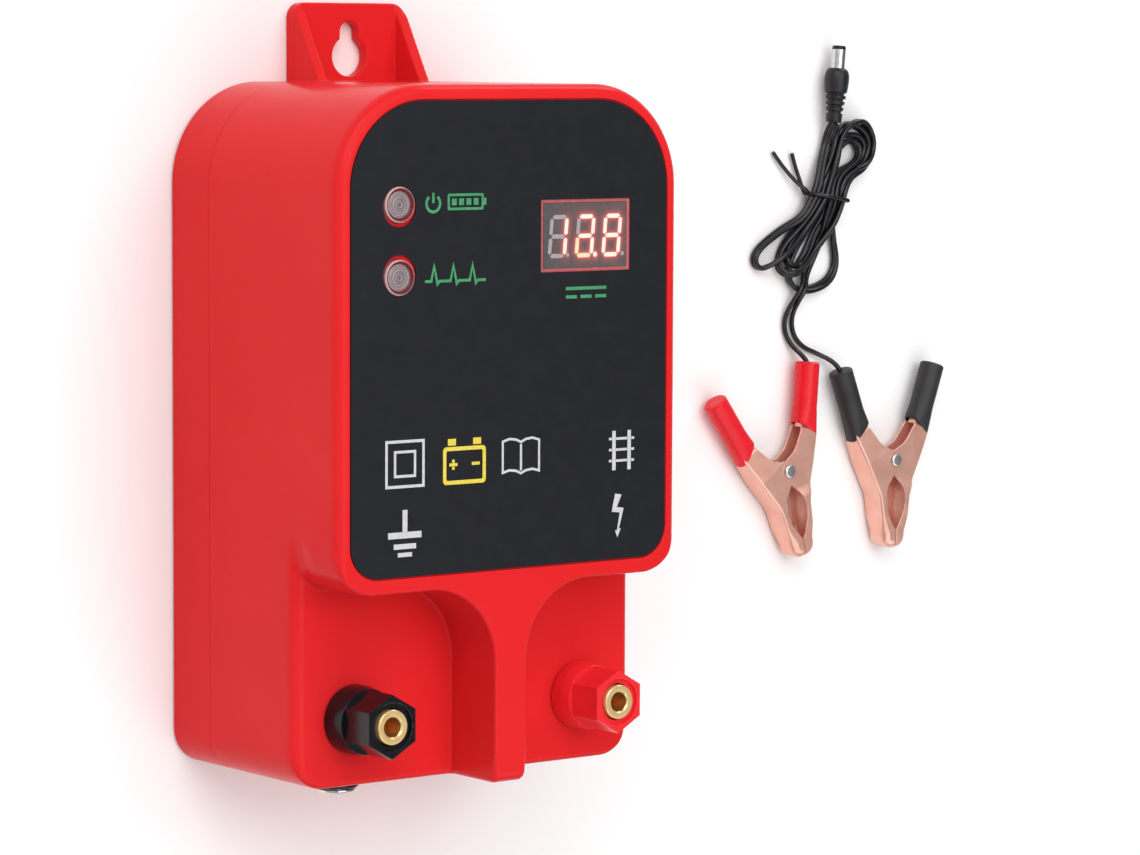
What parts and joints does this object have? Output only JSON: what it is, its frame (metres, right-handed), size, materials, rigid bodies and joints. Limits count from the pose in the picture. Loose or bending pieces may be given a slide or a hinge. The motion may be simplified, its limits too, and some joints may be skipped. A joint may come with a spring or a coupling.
{
  "type": "fence energizer",
  "caption": "Wall-hung electric fence energizer: red two-shell case with display, lamps, earth and output binding posts and 12 V inlet, with its clip-ended battery lead.",
  "frame": {"origin": "middle of the energizer's outline, lug and inlet included and the battery lead left out, on its flat back", "axes": "+X to the right of the front panel, +Y up the wall towards the hanging lug, +Z out of the front panel"},
  "size_m": [0.2236, 0.1692, 0.0644],
  "materials": {
    "red_abs": "moulded ABS, semi-gloss with a faint moulding texture",
    "black_label": "satin printed film",
    "seal_rubber": "soft foam rubber",
    "clear_lens": "clear moulded lens",
    "display_face": "dark display face with light segments",
    "circuit_board": "green solder mask",
    "brass": "turned, bright",
    "black_plastic": "moulded, semi-gloss",
    "red_knob_plastic": "moulded, semi-gloss",
    "nickel": "nickel plated",
    "zinc_steel": "zinc plated",
    "core_iron": "laminated iron, varnished",
    "winding": "taped winding",
    "capacitor_case": "epoxy dipped box",
    "black_cord": "PVC cord",
    "red_wire": "PVC wire",
    "copper_plate": "copper plated steel sheet",
    "red_vinyl": "dipped vinyl, semi-gloss",
    "black_vinyl": "dipped vinyl, satin"
  },
  "bodies": {
    "root": {"rear_shell": "red_abs", "front_shell": "red_abs", "front_label": "black_label", "case_seal": "seal_rubber", "power_lens": "clear_lens", "shock_lens": "clear_lens", "power_led": "clear_lens", "shock_led": "clear_lens", "display_block": "display_face", "display_board": "circuit_board", "main_board": "circuit_board", "earth_post": "brass", "output_post": "brass", "earth_nut": "brass", "output_nut": "brass", "earth_collar": "black_plastic", "dc_jack_body": "black_plastic", "plug_insulator": "black_plastic", "thyristor": "black_plastic", "output_collar": "red_knob_plastic", "dc_jack_sleeve": "nickel", "dc_jack_pin": "nickel", "dc_jack_nut": "nickel", "plug_barrel": "nickel", "case_screw_1": "zinc_steel", "case_screw_2": "zinc_steel", "case_screw_3": "zinc_steel", "case_screw_4": "zinc_steel", "board_screw_1": "zinc_steel", "board_screw_2": "zinc_steel", "board_screw_3": "zinc_steel", "board_screw_4": "zinc_steel", "red_clip_rivet": "zinc_steel", "black_clip_rivet": "zinc_steel", "red_clip_spring": "zinc_steel", "black_clip_spring": "zinc_steel", "transformer_core": "core_iron", "transformer_coil": "winding", "charging_transformer": "winding", "storage_capacitor": "capacitor_case", "plug_grip": "black_cord", "lead_hank": "black_cord", "twist_tie": "black_cord", "positive_wire": "black_cord", "negative_wire": "black_cord", "earth_wire": "black_cord", "supply_wire": "black_cord", "output_wire": "red_wire", "red_clip_fixed_jaw": "copper_plate", "black_clip_fixed_jaw": "copper_plate", "red_clip_fixed_sleeve": "red_vinyl", "black_clip_fixed_sleeve": "black_vinyl"},
    "earth_clamp": {"earth_washer": "nickel"},
    "earth_knob": {"earth_knob": "black_plastic"},
    "output_clamp": {"output_washer": "nickel"},
    "output_knob": {"output_knob": "red_knob_plastic"},
    "red_jaw": {"red_clip_moving_jaw": "copper_plate", "red_clip_moving_sleeve": "red_vinyl"},
    "black_jaw": {"black_clip_moving_jaw": "copper_plate", "black_clip_moving_sleeve": "black_vinyl"}
  },
  "joints": [
    {"name": "earth_knob_lift", "type": "slide", "parent": "root", "child": "earth_clamp", "axis": [0, 0, 1], "range_m": [0, 0.003]},
    {"name": "earth_knob_turn", "type": "hinge", "parent": "earth_clamp", "child": "earth_knob", "pos_m": [-0.0303, -0.06775, 0.0476], "axis": [0, 0, 1], "range_deg": [0, 1440]},
    {"name": "output_knob_lift", "type": "slide", "parent": "root", "child": "output_clamp", "axis": [0, 0, 1], "range_m": [0, 0.003]},
    {"name": "output_knob_turn", "type": "hinge", "parent": "output_clamp", "child": "output_knob", "pos_m": [0.0303, -0.06775, 0.0476], "axis": [0, 0, 1], "range_deg": [0, 1440]},
    {"name": "red_clip_squeeze", "type": "hinge", "parent": "root", "child": "red_jaw", "pos_m": [0.1262, -0.02695, 0.0039], "axis": [0, 0, -1], "range_deg": [0, 35], "stiffness_Nm_per_rad": 0.12, "springref_deg": -28.65},
    {"name": "black_clip_squeeze", "type": "hinge", "parent": "root", "child": "black_jaw", "pos_m": [0.1607, -0.02605, 0.0039], "axis": [0, 0, 1], "range_deg": [0, 35], "stiffness_Nm_per_rad": 0.12, "springref_deg": -28.65}
  ],
  "couplings": [
    {"joint": "earth_knob_turn", "follows": "earth_knob_lift", "rad_per_m": 8377.6},
    {"joint": "output_knob_turn", "follows": "output_knob_lift", "rad_per_m": 8377.6}
  ]
}
